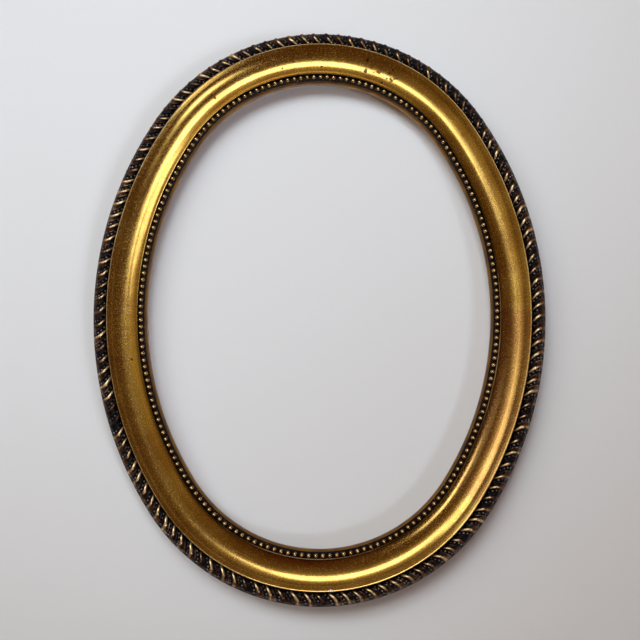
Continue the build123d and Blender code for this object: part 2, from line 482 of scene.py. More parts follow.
# Metal leaf over red bole and gesso, burnished lightly and toned with shellac. The eye sees a satin
# gold with soft wide highlights, faint streaks along the rail, laps between leaves and red-brown depths.
@dataclass(frozen=True)
class GiltLeaf:
    """Finish of the scoop and the two arrises."""

    deep_leaf: str = "#A98528"
    gesso: str = "#EDE6D8"
    leaf: Coat = Coat("#C3A23E", 0.35, 0.65, smooth=True)
    toning: Coat = Coat("#7E4A10", 0.48, 0.78, 0.65)
    broken: Coat = Coat(BOLE, 0.3, 0.7, 0.2, 0.04)
    # Painted dark reflection, laid on as red bole showing through the leaf
    thinned: Coat = Coat(BOLE, 0.15, 0.55, 0.85)
    rubbed: Coat = Coat(RUBBED_LEAF, 0.3, 0.6, 0.3)
    scuffed: Coat = Coat(BOLE, 0.58, 0.74, 0.4)
    # Painted shade on the arrises, together with the hollows' black wash
    shaded_wash: Coat = Coat(DIRT_AND_SHADE, 0.6, 1.3, 0.85)
    # Painted highlight along the arrises, in the colour of stained gesso
    pale_edge_highlight: Coat = Coat("#C0A678", 0.15, 0.45, 0.75)
    cloud: float = 26.0
    streak_along: float = 22.0
    streak_across: float = 0.55
    grain: float = 0.9
    leaf_side: float = 82.0
    lap: float = 4.0
    lap_cover: float = 0.1
    lap_line: float = 0.5
    lap_line_cover: float = 0.3
    scratch: float = 9.0
    scratch_width: float = 0.02
    scratch_cover: float = 0.27
    wiped: float = 17.0
    wiped_range: tuple[float, float] = (0.5, 0.64)
    mark_cover: float = 0.9
    mark_fade: float = 1.5
    burnished: float = 0.14
    dull: float = 0.3
    shellac: float = 0.7
    shellac_roughness: float = 0.22
    bump: float = 0.007

    def material(self, surface: "Rail", marks: list[Mark]) -> Material:
        """Builds the gilding with its damage.

        Args:
            surface: Rail whose oval and section place the marks.
            marks: Pits and chips.

        Returns:
            The material.
        """
        material = new_material("gilt_leaf_over_bole")
        tree = material.node_tree
        place = add_node(tree, "ShaderNodeTexCoord", out="Object")
        rail = add_node(tree, "ShaderNodeAttribute", out="Vector", attribute_name="rail")
        edge, grime, thin, bare, along = [
            add_node(tree, "ShaderNodeAttribute", out="Fac", attribute_name=name)
            for name in ("edge", "grime", "thin", "bare", "along")]
        stretched = add_node(tree, "ShaderNodeVectorMath", {
            0: rail,
            1: (per_metre(self.streak_along), per_metre(self.streak_along), per_metre(self.streak_across)),
        }, operation="MULTIPLY")
        clouds, streaks, grain = [
            add_node(tree, "ShaderNodeTexNoise", {
                "Vector": way, "Scale": scale, "Detail": detail, "Roughness": roughness})
            for way, scale, detail, roughness in (
                (rail, per_metre(self.cloud), 4.0, 0.6),
                (stretched, 1.0, 3.0, 0.65),
                (rail, per_metre(self.grain), 3.0, 0.7))]
        colour, _ = self.leaf.over(tree, self.deep_leaf, clouds)
        colour, _ = self.toning.over(tree, colour, streaks)

        # Each leaf laps the last by a few millimetres, with a thin line at the lap's edge
        wavered = add_node(tree, "ShaderNodeMath", {
            0: clouds, 1: self.lap, 2: along}, operation="MULTIPLY_ADD")
        within = add_node(tree, "ShaderNodeMath", {0: wavered, 1: self.leaf_side}, operation="MODULO")
        lap = Coat(RUBBED_LEAF, self.lap, self.lap + self.lap_line, 0.0, self.lap_cover)
        line = Coat(BOLE, 0.0, self.lap_line, 0.0, self.lap_line_cover)
        for coat in (lap, line):
            colour, _ = coat.over(tree, colour, within)

        # Under the burnish the leaf is broken at its grain, and the red bole shows through
        colour, broken = self.broken.over(tree, colour, grain)

        # Painted dark reflection at the foot of the frame: the red bole shows through the leaf there in
        # patches.
        # Handling rubs the arrises pale, and through to the bole in places
        for coat, share, pattern in (
                (self.thinned, thin, clouds), (self.rubbed, edge, clouds), (self.scuffed, edge, grain)):
            where = add_node(tree, "ShaderNodeMath", {0: share, 1: pattern}, operation="MULTIPLY")
            colour, _ = coat.over(tree, colour, where)

        # Wiping has left pale hair scratches in patches, along the lines where a noise is at its middle
        wiggle = add_node(tree, "ShaderNodeTexNoise", {
            "Vector": rail, "Scale": per_metre(self.scratch), "Detail": 3.0, "Roughness": 0.6,
            "Distortion": 1.2})
        off_line = add_node(tree, "ShaderNodeMath", {0: wiggle, 1: 0.5}, operation="SUBTRACT")
        beside = add_node(tree, "ShaderNodeMath", {0: off_line}, operation="ABSOLUTE")
        wiped = add_node(tree, "ShaderNodeTexNoise", {
            "Vector": rail, "Scale": per_metre(self.wiped), "Detail": 2.0})
        scratched = add_node(tree, "ShaderNodeMapRange", {
            "Value": wiped, "From Min": self.wiped_range[0], "From Max": self.wiped_range[1],
            "To Max": self.scratch_cover})
        hair = Coat(RUBBED_LEAF, 0.0, self.scratch_width, 0.0, scratched)
        colour, _ = hair.over(tree, colour, beside)

        # The black wash of the hollows beside them creeps over the arrises' edges, and painted shade darkens
        # the arrises with it, except where they catch the light
        near_wash_and_shade = add_node(tree, "ShaderNodeMath", {0: grime, 1: clouds}, operation="ADD")
        colour, shaded_wash = self.shaded_wash.over(tree, colour, near_wash_and_shade)

        # Painted highlights along the arrises, in the colour of stained gesso: a pale line all round the
        # outer arris, and along the inner one in places
        cover_pattern = add_node(tree, "ShaderNodeMath", {0: bare, 1: clouds}, operation="MULTIPLY")
        colour, pale_edge_highlight = self.pale_edge_highlight.over(tree, colour, cover_pattern)

        # Bole, gesso and the painted edge highlight are no metal, and there is no shellac on the wash and
        # painted shade, on dirt or on damage
        metal = add_node(tree, "ShaderNodeMath", {0: 1.0, 1: broken}, operation="SUBTRACT")
        metal = add_node(tree, "ShaderNodeMath", {0: metal, 1: pale_edge_highlight}, operation="SUBTRACT", use_clamp=True)
        shellac = add_node(tree, "ShaderNodeMath", {0: self.shellac, 1: shaded_wash}, operation="SUBTRACT")
        for mark in marks:
            height = surface.front_height(mark.across)
            spot = surface.oval.points(math.radians(mark.direction), mark.across, height) * MM
            reach = mark.radius * MM
            away = add_node(tree, "ShaderNodeVectorMath", {
                0: place, 1: tuple(spot)}, out="Value", operation="DISTANCE")
            ragged = add_node(tree, "ShaderNodeMath", {0: grain, 1: reach, 2: away}, operation="MULTIPLY_ADD")
            chipped = mark.kind is MarkKind.CHIP
            shade = self.gesso if chipped else DIRT_AND_SHADE
            damage = Coat(shade, reach, reach * self.mark_fade, 0.0, self.mark_cover)
            colour, share = damage.over(tree, colour, ragged)
            shellac = add_node(tree, "ShaderNodeMath", {
                0: shellac, 1: share}, operation="SUBTRACT", use_clamp=True)
            if chipped:
                metal = add_node(tree, "ShaderNodeMath", {
                    0: metal, 1: share}, operation="SUBTRACT", use_clamp=True)
        roughness = add_node(tree, "ShaderNodeMapRange", {
            "Value": grain, "From Min": self.broken.low, "From Max": self.broken.high,
            "To Min": self.burnished, "To Max": self.dull})
        height = add_node(tree, "ShaderNodeMath", {0: grain, 1: streaks}, operation="ADD")
        return close_material(material, {
            "Base Color": colour, "Metallic": metal, "Roughness": roughness, "Coat Weight": shellac,
            "Coat Roughness": self.shellac_roughness}, height, self.bump)


# Black-brown casein paint washed into the hollows, with crumbs of gold left on it. The eye sees a flat
# dark ground that swallows light, with warm flecks.
@dataclass(frozen=True)
class BlackPatina:
    """Finish of the bead channel and the quirk beside the rope."""

    brown: Coat = Coat("#1A0F07", 0.0, 1.0)
    gold: Coat = Coat("#A87B32", 0.66, 0.74, 0.7)
    roughness: float = 0.55
    patch: float = 5.0
    crumb: float = 0.9
    spill: float = 0.24
    bump: float = 0.08

    def material(self) -> Material:
        """Builds the patina.

        Returns:
            The material.
        """
        material = new_material("black_patina_wash")
        tree = material.node_tree
        place = add_node(tree, "ShaderNodeTexCoord", out="Object")
        patches, crumbs = [
            add_node(tree, "ShaderNodeTexNoise", {
                "Vector": place, "Scale": per_metre(size), "Detail": detail})
            for size, detail in ((self.patch, 3.0), (self.crumb, 2.0))]
        spilt = add_node(tree, "ShaderNodeAttribute", out="Fac", attribute_name="spilt")
        scattered = add_node(tree, "ShaderNodeMath", {
            0: spilt, 1: self.spill, 2: crumbs}, operation="MULTIPLY_ADD")
        colour, _ = self.brown.over(tree, WASH_BLACK, patches)
        colour, gold = self.gold.over(tree, colour, scattered)
        return close_material(material, {
            "Base Color": colour, "Metallic": gold, "Roughness": self.roughness,
            "Specular IOR Level": 0.1}, crumbs, self.bump)


# Bronze powder wash over brown paint, brushed on thin. The eye sees a dull brown gold that darkens in
# patches.
@dataclass(frozen=True)
class BronzeWash:
    """Finish of the sight lip, the base ledge and the outer wall."""

    name: str
    bronze: str
    brown: str
    bronze_range: tuple[float, float] = (0.75, 1.25)
    thin_metal: float = 0.35
    full_metal: float = 0.95
    roughness: float = 0.42
    patch: float = 9.0
    brush: float = 0.7
    bump: float = 0.04

    def material(self) -> Material:
        """Builds the wash.

        Returns:
            The material.
        """
        material = new_material(self.name)
        tree = material.node_tree
        rail = add_node(tree, "ShaderNodeAttribute", out="Vector", attribute_name="rail")
        patches = add_node(tree, "ShaderNodeTexNoise", {
            "Vector": rail, "Scale": per_metre(self.patch), "Detail": 4.0})
        brushed = add_node(tree, "ShaderNodeVectorMath", {
            0: rail, 1: (per_metre(self.patch), per_metre(self.patch), per_metre(self.brush))},
            operation="MULTIPLY")
        strokes = add_node(tree, "ShaderNodeTexNoise", {"Vector": brushed, "Scale": 1.0, "Detail": 3.0})
        both = add_node(tree, "ShaderNodeMath", {0: patches, 1: strokes}, operation="ADD")
        colour, share = Coat(self.bronze, *self.bronze_range).over(tree, self.brown, both)
        metal = add_node(tree, "ShaderNodeMapRange", {
            "Value": share, "To Min": self.thin_metal, "To Max": self.full_metal})
        return close_material(material, {
            "Base Color": colour, "Metallic": metal, "Roughness": self.roughness}, strokes, self.bump)


# Pressed composition under black paint, with gold rubbed over the high places by hand. The eye sees
# bright worn ribs and pearls against near-black hollows, and brown where the gold is thin.
@dataclass(frozen=True)
class RubbedOrnament:
    """Finish of the rope and the bead strips, guided by the meshes' gilt attribute."""

    name: str
    gold: str
    thin_gold: str
    thin_range: tuple[float, float] = (0.25, 0.65)
    full_range: tuple[float, float] = (0.55, 0.95)
    wear_range: tuple[float, float] = (0.7, 1.3)
    most_worn: float = -0.31
    least_worn: float = 0.34
    black_roughness: float = 0.5
    roughness: float = 0.3
    metal: float = 0.6
    varnish: float = 0.0
    varnish_roughness: float = 0.14
    patch: float = 4.0
    grain: float = 0.6
    bump: float = 0.04

    def material(self) -> Material:
        """Builds the rubbed gold over black.

        Returns:
            The material.
        """
        material = new_material(self.name)
        tree = material.node_tree
        place = add_node(tree, "ShaderNodeTexCoord", out="Object")
        gilt = add_node(tree, "ShaderNodeAttribute", out="Fac", attribute_name="gilt")
        patches, grain = [
            add_node(tree, "ShaderNodeTexNoise", {
                "Vector": place, "Scale": per_metre(size), "Detail": detail})
            for size, detail in ((self.patch, 3.0), (self.grain, 2.0))]
        wear = add_node(tree, "ShaderNodeMath", {0: patches, 1: grain}, operation="ADD")
        offset = add_node(tree, "ShaderNodeMapRange", {
            "Value": wear, "From Min": self.wear_range[0], "From Max": self.wear_range[1],
            "To Min": self.most_worn, "To Max": self.least_worn})
        cover_pattern = add_node(tree, "ShaderNodeMath", {0: gilt, 1: offset}, operation="ADD")
        rubbed, _ = Coat(self.gold, *self.full_range, smooth=True).over(tree, self.thin_gold, cover_pattern)
        colour, share = Coat(rubbed, *self.thin_range, smooth=True).over(tree, WASH_BLACK, cover_pattern)
        roughness = add_node(tree, "ShaderNodeMapRange", {
            "Value": share, "To Min": self.black_roughness, "To Max": self.roughness})
        metal = add_node(tree, "ShaderNodeMath", {0: share, 1: self.metal}, operation="MULTIPLY")
        return close_material(material, {
            "Base Color": colour, "Metallic": metal, "Roughness": roughness, "Specular IOR Level": 0.1,
            "Coat Weight": self.varnish, "Coat Roughness": self.varnish_roughness}, grain, self.bump)


# Black shellac lacquer over the pressed pearls, run thick in the hollows, with grey patches of painted sheen
# in its colour. The eye sees a small grey glint on black.
@dataclass(frozen=True)
class BlackLacquer:
    """Finish of the small pearls in the rope's hollows."""

    black: str = "#1F1E1D"
    # Grey patches over the black: painted sheen
    painted_sheen: Coat = Coat("#8C867E", 0.4, 0.62)
    roughness: float = 0.2
    patch: float = 1.5
    bump: float = 0.05

    def material(self) -> Material:
        """Builds the lacquer.

        Returns:
            The material.
        """
        material = new_material("black_shellac_lacquer")
        tree = material.node_tree
        place = add_node(tree, "ShaderNodeTexCoord", out="Object")
        patches = add_node(tree, "ShaderNodeTexNoise", {
            "Vector": place, "Scale": per_metre(self.patch), "Detail": 2.0})
        colour, _ = self.painted_sheen.over(tree, self.black, patches)
        return close_material(material, {
            "Base Color": colour, "Roughness": self.roughness}, patches, self.bump)


# Lime boards, band-sawn to the arc, planed and stained brown with a water stain. The eye sees straight
# grain running through each curved block, darker in the late wood, with a dull surface.
@dataclass(frozen=True)
class StainedWood:
    """Finish of the frame's back and of the dowels."""

    name: str
    pale: str
    dark: str
    ring_range: tuple[float, float] = (0.35, 0.68)
    pore_range: tuple[float, float] = (0.56, 0.7)
    pore_cover: float = 0.55
    roughness: float = 0.62
    grain_across: float = 2.6
    grain_along: float = 45.0
    pore_across: float = 0.5
    pore_along: float = 6.0
    bump: float = 0.06

    def material(self, along_board: bool) -> Material:
        """Builds the wood.

        Args:
            along_board: True where the mesh says which way its board ran, else the grain runs along x.

        Returns:
            The material.
        """
        material = new_material(self.name)
        tree = material.node_tree
        if along_board:
            place = add_node(tree, "ShaderNodeAttribute", out="Vector", attribute_name="board")
        else:
            place = add_node(tree, "ShaderNodeTexCoord", out="Object")
        layers = []
        for along, across in ((self.grain_along, self.grain_across), (self.pore_along, self.pore_across)):
            stretched = add_node(tree, "ShaderNodeVectorMath", {
                0: place, 1: (per_metre(along), per_metre(across), per_metre(across))}, operation="MULTIPLY")
            layers.append(add_node(tree, "ShaderNodeTexNoise", {
                "Vector": stretched, "Scale": 1.0, "Detail": 3.0, "Distortion": 0.4}))
        rings, pores = layers
        colour, _ = Coat(self.pale, *self.ring_range).over(tree, self.dark, rings)
        colour, _ = Coat(self.dark, *self.pore_range, self.pore_cover).over(tree, colour, pores)
        return close_material(material, {
            "Base Color": colour, "Roughness": self.roughness, "Specular IOR Level": 0.3}, pores, self.bump)


# Plated steel sheet or wire, stamped or bent, then tumbled and plated. The eye sees a soft metal shine
# with fine tumbling scuffs and a duller bloom in patches.
@dataclass(frozen=True)
class PlatedSteel:
    """Finish of the turn buttons, the screws and the hanger."""

    name: str
    bright: str
    dull: str
    bloom_range: tuple[float, float] = (0.42, 0.62)
    roughness: float = 0.3
    bloom_roughness: float = 0.5
    bloom: float = 4.0
    scuff: float = 0.35
    bump: float = 0.01

    def material(self) -> Material:
        """Builds the plating.

        Returns:
            The material.
        """
        material = new_material(self.name)
        tree = material.node_tree
        place = add_node(tree, "ShaderNodeTexCoord", out="Object")
        bloom = add_node(tree, "ShaderNodeTexNoise", {
            "Vector": place, "Scale": per_metre(self.bloom), "Detail": 4.0, "Roughness": 0.6})
        scuffs = add_node(tree, "ShaderNodeTexNoise", {
            "Vector": place, "Scale": per_metre(self.scuff), "Detail": 2.0})
        colour, share = Coat(self.dull, *self.bloom_range).over(tree, self.bright, bloom)
        roughness = add_node(tree, "ShaderNodeMapRange", {
            "Value": share, "To Min": self.roughness, "To Max": self.bloom_roughness})
        return close_material(material, {
            "Base Color": colour, "Metallic": 1.0, "Roughness": roughness}, scuffs, self.bump)


def near_direction(direction: np.ndarray, centre: float, spread: float) -> np.ndarray:
    """How near directions in radians are to a place in degrees, from 0 to 1, with its spread in degrees."""
    return np.exp(-(((np.degrees(direction) - centre + 180) % 360 - 180) / spread) ** 2)


@dataclass
class Rail:
    """The moulded wooden rail: four arcs of one section, gilded in front and ungilded behind."""

    oval: Oval
    lip_width: float = 1.2
    channel_width: float = 4.0
    inner_arris_width: float = 0.7
    scoop_width: float = 15.3
    band_width: float = 1.9
    outer_arris_width: float = 0.7
    quirk_width: float = 1.2
    rope_width: float = 7.4
    ledge_width: float = 1.95
    rebate_width: float = 5.5
    fitting_step_width: float = 14.0
    fitting_step_height: float = 4.2
    shelf_height: float = 10.0
    sight_edge_height: float = 11.6
    lip_height: float = 14.0
    channel_height: float = 13.4
    inner_arris_height: float = 17.0
    band_height: float = 19.2
    outer_arris_height: float = 21.0
    rope_seat_height: float = 14.0
    ledge_height: float = 12.4
    back_edge_chamfer: float = 0.8
    scoop_depth: float = 2.8
    arris_round: float = 0.3
    inner_lean: float = 0.3
    outer_lean: float = 0.19
    # Reach of the wash and painted shade over the two arrises, and the places where they are left off because
    # the arrises catch the light
    inner_grime: float = 1.9
    outer_grime: float = 0.8
    inner_lit_place: tuple[float, float] = (155.0, 36.0)
    outer_lit_place: tuple[float, float] = (288.0, 48.0)
    # Where the painted highlights lie along the arrises, and how wide they are
    edge_highlight_places: tuple[tuple[float, float], ...] = ((264.0, 34.0), (352.0, 20.0))
    edge_highlight_width: float = 0.35
    outer_edge_highlight: float = 0.62
    outer_edge_highlight_inset: float = 0.3
    # Place and width of the painted dark reflection at the foot of the scoop
    thin_place: tuple[float, float] = (262.0, 32.0)
    thin_width: float = 5.0
    spilt_places: tuple[tuple[float, float], ...] = ((168.0, 7.0), (346.0, 6.0))
    gilt_run_down: float = 1.4
    pocket_half_width: float = 10.0
    pocket_reach: float = 29.5
    pocket_corner: float = 3.0
    joint_gap: float = 0.05
    station_step: float = 0.9
    scoop_steps: int = 64
    corner_steps: int = 5
    hand_wave: float = 0.02
    waves: int = 14
    wave_counts: tuple[int, int] = (9, 40)
    wave_lean: float = 0.2
    crease: float = 35.0
    seed: int = 11

    @property
    def channel_outer(self) -> float:
        """Outer wall of the bead channel, from the sight edge."""
        return self.lip_width + self.channel_width

    @property
    def scoop_inner(self) -> float:
        """Inner edge of the scoop, from the sight edge."""
        return self.channel_outer + self.inner_arris_width

    @property
    def scoop_outer(self) -> float:
        """Outer edge of the scoop, from the sight edge."""
        return self.scoop_inner + self.scoop_width

    @property
    def quirk_inner(self) -> float:
        """Outer face of the outer arris, from the sight edge."""
        return self.scoop_outer + self.band_width + self.outer_arris_width

    @property
    def rope_inner(self) -> float:
        """Inner edge of the rope, from the sight edge."""
        return self.quirk_inner + self.quirk_width

    @property
    def width(self) -> float:
        """Whole width of the rail."""
        return self.rope_inner + self.rope_width + self.ledge_width

    @property
    def rim_inner(self) -> float:
        """Inner edge of the back rim, from the sight edge."""
        return self.rebate_width + self.fitting_step_width

    def scoop_line(self) -> np.ndarray:
        """Points of the scoop's arc from the inner to the outer arris.

        Returns:
            Across and height, one row per point.
        """
        start = np.array([self.scoop_inner, self.inner_arris_height - self.inner_lean])
        chord = np.array([self.scoop_width, self.band_height - start[1]])
        half = np.hypot(*chord) / 2
        radius = (half ** 2 + self.scoop_depth ** 2) / (2 * self.scoop_depth)
        up = np.array([-chord[1], chord[0]]) / (2 * half)
        centre = start + chord / 2 + up * (radius - self.scoop_depth)
        swing = math.asin(half / radius)
        turns = np.linspace(-swing, swing, self.scoop_steps)[:, None]
        return centre + radius * (np.sin(turns) * chord / (2 * half) - np.cos(turns) * up)

    def front_height(self, across: float) -> float:
        """Height of the scoop and the arrises at a distance from the sight edge.

        Args:
            across: Distance outwards from the sight edge.

        Returns:
            Millimetres above the back plane.
        """
        line = self.scoop_line()
        if across > self.scoop_outer:
            return float(np.interp(across, [self.scoop_outer, self.scoop_outer + self.band_width],
                                   [self.band_height, self.outer_arris_height]))
        return float(np.interp(across, line[:, 0], line[:, 1]))

    def section(self) -> tuple[np.ndarray, list[int], np.ndarray]:
        """The closed section, from the shelf's edge round the front to the back.

        Returns:
            Points as across and height, the zone of each side, and how worn the edge at each point is.
        """
        lip_rise = self.lip_height - self.sight_edge_height
        lip_radius = (self.lip_width ** 2 + lip_rise ** 2) / (2 * self.lip_width)
        lip_end = math.atan2(lip_rise, self.lip_width - lip_radius)
        lip_turns = np.linspace(math.pi, lip_end, 2 * self.corner_steps)
        lip = np.stack([lip_radius + lip_radius * np.cos(lip_turns),
                        self.sight_edge_height + lip_radius * np.sin(lip_turns)], axis=-1)
        arris_end = self.quirk_inner - self.outer_arris_width
        gilt_foot = self.inner_arris_height - self.gilt_run_down
        quirk_foot = self.outer_arris_height - self.gilt_run_down
        small, none = self.arris_round, 0.0
        scoop = [(*point, none) for point in self.scoop_line()[1:-1]]
        lines = [
            (Zone.LIP, np.concatenate([
                [(none, self.shelf_height)], lip, [(self.lip_width, self.channel_height)]])),
            (Zone.CHANNEL, rounded([
                (self.lip_width, self.channel_height, none),
                (self.channel_outer, self.channel_height, small),
                (self.channel_outer, gilt_foot, none)], self.corner_steps)),
            (Zone.GILT, rounded([
                (self.channel_outer, gilt_foot, none),
                (self.channel_outer, self.inner_arris_height, small),
                (self.scoop_inner, self.inner_arris_height - self.inner_lean, small), *scoop,
                (self.scoop_outer, self.band_height, small),
                (arris_end, self.outer_arris_height - self.outer_lean, small),
                (self.quirk_inner, self.outer_arris_height, small),
                (self.quirk_inner, quirk_foot, none)], self.corner_steps)),
            (Zone.QUIRK, rounded([
                (self.quirk_inner, quirk_foot, none),
                (self.quirk_inner, self.rope_seat_height, none),
                (self.rope_inner + self.rope_width, self.rope_seat_height, none)], self.corner_steps)),
            (Zone.LEDGE, rounded([
                (self.rope_inner + self.rope_width, self.rope_seat_height, none),
                (self.width, self.ledge_height, small),
                (self.width, self.back_edge_chamfer, none)], self.corner_steps)),
            (Zone.BACK, rounded([
                (self.width, self.back_edge_chamfer, none),
                (self.width - self.back_edge_chamfer, none, none),
                (self.rim_inner, none, none),
                (self.rim_inner, self.fitting_step_height, none),
                (self.rebate_width, self.fitting_step_height, none),
                (self.rebate_width, self.shelf_height, none),
                (none, self.shelf_height, none)], self.corner_steps)),
        ]
        points = np.concatenate([line[:-1] for _, line in lines])
        zones = [zone.value for zone, line in lines for _ in line[:-1]]
        tops = [(self.channel_outer + self.scoop_inner) / 2, (arris_end + self.quirk_inner) / 2]
        near = np.min([np.abs(points[:, 0] - top) for top in tops], axis=0)
        edge = np.clip(1 - near / (2 * self.outer_arris_width), 0, 1)
        return points, zones, edge

    def grime(self, direction: np.ndarray, across: np.ndarray) -> np.ndarray:
        """How much of the black wash and painted shade lies over the arrises; both are left off in two
        places, where the arrises catch the light.

        Args:
            direction: Outward normal at each place.
            across: Distance outwards from the sight edge.

        Returns:
            Share of the wash and painted shade, from 0 to 1.
        """
        inner = np.clip(1 - (across - self.channel_outer) / self.inner_grime, 0, 1)
        outer = np.clip(1 - (self.quirk_inner - across) / self.outer_grime, 0, 1)
        return np.maximum(inner * (1 - near_direction(direction, *self.inner_lit_place)),
                          outer * (1 - near_direction(direction, *self.outer_lit_place)))

    def bare(self, direction: np.ndarray, across: np.ndarray) -> np.ndarray:
        """How strong the painted highlight along the arrises is: all round the outer one, the inner one only
        in places.

        Args:
            direction: Outward normal at each place.
            across: Distance outwards from the sight edge.

        Returns:
            Strength of the painted highlight, zero where there is none.
        """
        near = sum(near_direction(direction, *spot) for spot in self.edge_highlight_places)
        inner = np.exp(-((across - self.channel_outer) / self.edge_highlight_width) ** 2)
        outer = np.exp(-((self.quirk_inner - self.outer_edge_highlight_inset - across) / self.edge_highlight_width) ** 2)
        return near * inner + self.outer_edge_highlight * outer

    def rim_line(self, direction: np.ndarray) -> np.ndarray:
        """Inner edge of the back rim at each direction, cut back where the hanger's pocket is.

        Args:
            direction: Outward normal at each place.

        Returns:
            Distance from the sight edge.
        """
        reach = self.oval.end_radius + self.pocket_reach
        beside = np.abs(reach * np.cos(direction))
        into_corner = np.clip(beside - (self.pocket_half_width - self.pocket_corner), 0, self.pocket_corner)
        drop = self.pocket_corner - np.sqrt(self.pocket_corner ** 2 - into_corner ** 2)
        far = (reach - drop) / np.maximum(np.sin(direction), 0.5) - self.oval.end_radius
        inside = (beside <= self.pocket_half_width) & (np.sin(direction) > 0)
        return np.where(inside, far, self.rim_inner)

    def on_side(self, start: float, stop: float) -> bool:
        """True for an arc at the left or the right of the oval."""
        return abs(math.sin((start + stop) / 2)) < abs(math.cos((start + stop) / 2))

    def stations(self, start: float, stop: float) -> np.ndarray:
        """Directions of the sections along one arc, with close pairs at the sides of the hanger's pocket.

        Args:
            start: Direction where the arc starts.
            stop: Direction where it ends.

        Returns:
            Directions in order, a half joint gap in from both ends.
        """
        radius = self.oval.side_radius if self.on_side(start, stop) else self.oval.end_radius
        reach = radius + self.width
        gap = self.joint_gap / 2 / reach
        places = np.linspace(start + gap, stop - gap, int((stop - start) * reach / self.station_step))
        corner_reach = self.oval.end_radius + self.pocket_reach
        hair = self.joint_gap / corner_reach
        if start < QUARTER_TURN < stop:
            turn = math.acos(self.pocket_half_width / corner_reach)
            extra = [side + step * hair for side in (turn, math.pi - turn) for step in (-1, 1)]
            fine = [math.acos((self.pocket_half_width - self.pocket_corner * share) / corner_reach)
                    for share in np.linspace(0.02, 1, 2 * self.corner_steps)]
            places = np.unique(np.concatenate([places, extra, fine, [math.pi - turn for turn in fine]]))
        return places

    def build(self, materials: list[Material]) -> None:
        """Builds the four arcs and seats them on the frame.

        Args:
            materials: Materials by zone number.
        """
        side = self.oval.side_arc
        arcs = {
            "core_right": (-side, side),
            "core_top": (side, math.pi - side),
            "core_left": (math.pi - side, math.pi + side),
            "core_bottom": (math.pi + side, FULL_TURN - side),
        }
        points, zones, edge = self.section()
        steps = np.hypot(*np.diff(points, axis=0, prepend=points[:1]).T)
        over = np.cumsum(steps)
        gilded = np.array([zone == Zone.GILT.value for zone in zones])
        draw = random.Random(self.seed)
        waves = [(draw.randint(*self.wave_counts), draw.uniform(0, FULL_TURN),
                  draw.uniform(-self.wave_lean, self.wave_lean)) for _ in range(self.waves)]
        for name, (start, stop) in arcs.items():
            places = self.stations(start, stop)
            direction = places[:, None]
            across = np.repeat(points[None, :, 0], len(places), axis=0)
            height = np.repeat(points[None, :, 1], len(places), axis=0)
            on_rim = np.isclose(points[:, 0], self.rim_inner) & (points[:, 1] <= self.fitting_step_height)
            across[:, on_rim] = self.rim_line(places)[:, None]
            turn = self.oval.distance_at(direction) / self.oval.length(0) * FULL_TURN
            from_sight = points[None, :, 0]
            wave = sum(np.sin(count * turn + phase + lean * from_sight) for count, phase, lean in waves)
            dip = np.minimum(wave * self.hand_wave / math.sqrt(len(waves)) - self.hand_wave, 0)
            height = height + np.where(gilded & (edge < 1), dip, 0)
            vertices = self.oval.points(direction, across, height).reshape(-1, 3)
            faces, face_zones = sweep_faces(len(places), len(points), zones)
            along = np.repeat(self.oval.distance_at(places), len(points))
            # Painted dark reflection, strongest at the foot of the frame near the scoop's inner edge
            thin = (near_direction(direction, *self.thin_place)
                    * np.exp(-((from_sight - self.scoop_inner) / self.thin_width) ** 2))
            spilt = sum(near_direction(direction, *spot) for spot in self.spilt_places)
            board = vertices[:, [1, 0, 2]] if self.on_side(start, stop) else vertices
            mesh = PieceMesh(f"rail_{name.removeprefix('core_')}")
            mesh.add(vertices, faces, face_zones, along=along, edge=np.tile(edge, len(places)),
                     bare=self.bare(direction, from_sight).ravel(),
                     grime=self.grime(direction, from_sight).ravel(), thin=thin.ravel(),
                     spilt=np.repeat(spilt.ravel(), len(points)), board=board * MM,
                     rail=self.oval.rail_coordinates(direction, over[None, :]).reshape(-1, 3))
            piece = mesh.finish(materials, self.crease)
            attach(piece, "frame")
            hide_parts(name)


